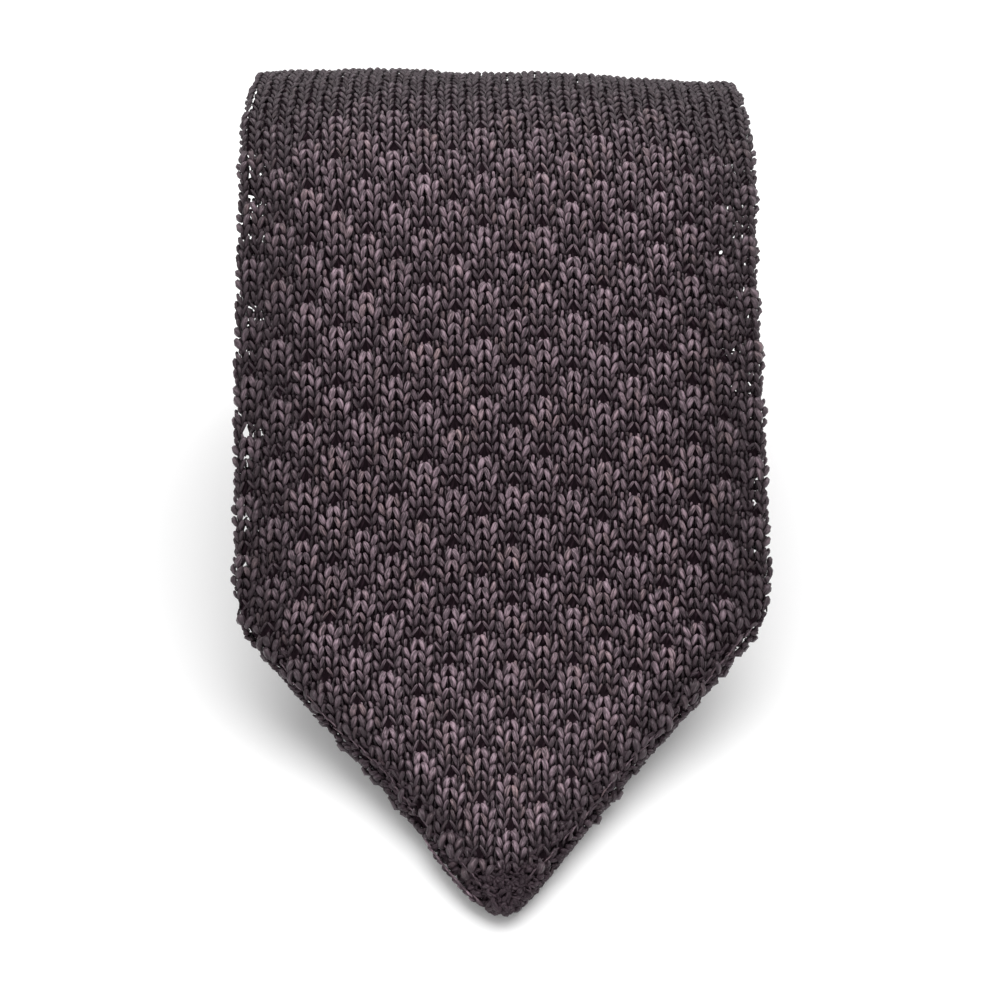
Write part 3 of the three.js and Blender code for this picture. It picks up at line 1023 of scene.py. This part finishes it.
def makePeekStrands(settings):
    start = np.arange(settings["from"], settings["to"], settings["pitch"])
    wave = chance.normal(0, 0.10, len(start))
    share = (start - settings["from"]) / (settings["to"] - settings["from"])
    out = settings["out"] * np.sin(math.pi * share) ** 0.5
    # The strands are given painted shade.
    loops = makeStrands((-0.9 + wave, start - 0.3), (-1.3 + wave, start + 0.9), 0.27,
                        (0.75 + out, 0.95 + out, 0.7 + out), bow=0.15, paintedShade=0.55 + out)
    thread = makeStrands((-0.55 + 0 * start, start), (-0.6 + wave, start + 1.4), 0.11,
                         (0.92 + out, 1.0 + out, 0.9 + out), paintedShade=0.1 + out)
    return joinLegs(loops, thread)


def placeOnRim(side):
    def place(inset, run, height):
        across, along = alongOutline(inset, run)
        return onTie(*foldPoint(side * across, along, height))
    return place


leftRim = makeYarnPiece("leftRim", makeRimStrands(rim), placeOnRim(-1), crestRings, 6, mattShadedMaterial)
rightRim = makeYarnPiece("rightRim", makeRimStrands(rim), placeOnRim(1), crestRings, 6, mattShadedMaterial)
peekStrands = makeYarnPiece(
    "peekStrands", makePeekStrands(peek), placeOnRim(-1), crestRings, 6, mattShadedMaterial)

# The tip, where the corners are gathered: short strands that lie every way
tip = {
    "count": 2300,
    "halfWidth": 7.5,
    "length": 9.0,
    "tilt": 1.1,
    "half": (0.26, 0.46),
    "lift": (0.25, 0.95),
    "radius": (0.14, 0.25),
    # painted shade, deep, on the gathered strands
    "paintedShade": (0.95, 1.75),
    "past": -0.9,  # how far past the rim a strand may lie
}


def makeTipStrands(settings):
    count = settings["count"]
    across = chance.uniform(-settings["halfWidth"], settings["halfWidth"], count)
    along = chance.uniform(-1.0, settings["length"], count)
    tilt = chance.normal(0, settings["tilt"], count)
    half = chance.uniform(*settings["half"], count)
    lift = chance.uniform(*settings["lift"], count)
    strands = makeStrands(
        (across + half * np.sin(tilt), along + half * np.cos(tilt)),
        (across - half * np.sin(tilt), along - half * np.cos(tilt)),
        chance.uniform(*settings["radius"], count), (lift - 0.20, lift + 0.18, lift - 0.35),
        bow=chance.normal(0, 0.20, count), paintedShade=chance.uniform(*settings["paintedShade"], count))
    inside, _ = insidePoint(across, along)
    kept = (inside > settings["past"]) & (chance.uniform(0, 1, count) > smooth(*front["tipCrowd"], along))
    return pick(strands, kept)


tipStrands = makeYarnPiece("tipStrands", makeTipStrands(tip), placeOnBlade, crestRings, 6, mattShadedMaterial)

# The edges of the inner turns: a chain of loops round each side edge of the tube
edgeLoop = {"pitch": 1.12, "spread": 0.62, "foot": 0.14, "length": 1.45, "radius": 0.32, "height": 0.55}


def makeEdgeLegs(settings):
    rows = np.arange(outerTurnEnd + 1, tieLength - 0.5, settings["pitch"])
    row, side, leg = (a.ravel() for a in np.meshgrid(rows, (-1, 1), (-1, 1), indexing="ij"))
    count = len(row)
    height = settings["height"]
    legs = makeStrands(
        (leg * settings["spread"] + chance.normal(0, 0.04, count),
         row + settings["length"] + chance.normal(0, 0.06, count)),
        (leg * settings["foot"] + chance.normal(0, 0.04, count), row + chance.normal(0, 0.06, count)),
        settings["radius"] * (1 + chance.normal(0, 0.08, count)),
        (height + 0.12, height + 0.32, height - 0.10), bow=leg * 0.05)
    return legs, side


edgeLegs, edgeSide = makeEdgeLegs(edgeLoop)


def placeOnEdge(offset, along, height):
    half = fullHalfWidth(along)
    girth = edgeSide[:, None] * (half - edgeRadius + edgeRadius * math.pi / 2 + offset)
    across, lifted = roundTube(girth, height, half)
    return onTie(across, along, lifted)


edgeStitches = makeYarnPiece("edgeStitches", edgeLegs, placeOnEdge, plainRings, 4, yarnMaterial)
print(f"yarn: {sum(triangles)} triangles in all")

yarnPieces = [pointStitches, slopeStitches, crestStitches, cornerStitches, deepStrands, turnStitches,
              backStitches, netStrands, leftRim, rightRim, peekStrands, tipStrands, edgeStitches]
for piece in [rolledBand, *yarnPieces]:
    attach(piece, "root")
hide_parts("knit_tube")
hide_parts("left_corner_fold", "right_corner_fold")

# The floor and the light of a bright product table
stage = {"floorSize": 3.0, "floorColour": (0.95, 0.95, 0.95, 1), "world": 0.73, "aim": (0, 0, 0.02)}


def makeFloor(settings):
    mesh = bpy.data.meshes.new("floor")
    size = settings["floorSize"] / 2
    corners = [(-size, -size, 0), (size, -size, 0), (size, size, 0), (-size, size, 0)]
    mesh.from_pydata(corners, [], [(0, 1, 2, 3)])
    floor = bpy.data.objects.new("floor", mesh)
    bpy.context.scene.collection.objects.link(floor)
    material = bpy.data.materials.new("paleFloor")
    material.use_nodes = True
    shader = material.node_tree.nodes["Principled BSDF"]
    shader.inputs["Base Color"].default_value = settings["floorColour"]
    shader.inputs["Roughness"].default_value = 0.9
    shader.inputs["Specular IOR Level"].default_value = 0.1
    mesh.materials.append(material)
    world = bpy.data.worlds.new("whiteRoom")
    world.use_nodes = True
    world.node_tree.nodes["Background"].inputs["Color"].default_value = (1, 1, 1, 1)
    world.node_tree.nodes["Background"].inputs["Strength"].default_value = settings["world"]
    bpy.context.scene.world = world


def addLight(name, place, size, power):
    data = bpy.data.lights.new(name, "AREA")
    data.shape = "RECTANGLE"
    data.size, data.size_y = size
    data.energy = power
    light = bpy.data.objects.new(name, data)
    direction = Vector(stage["aim"]) - Vector(place)
    turned = direction.to_track_quat("-Z", "Y").to_matrix().to_4x4()
    light.matrix_world = Matrix.Translation(Vector(place)) @ turned
    bpy.context.scene.collection.objects.link(light)


makeFloor(stage)
addLight("softboxTop", (0.08, 0.12, 0.62), (0.75, 0.65), 4.0)  # metres and watts
addLight("frontPanel", (-0.10, -0.60, 0.34), (1.0, 0.5), 0.5)
bpy.context.scene.view_settings.view_transform = "Standard"
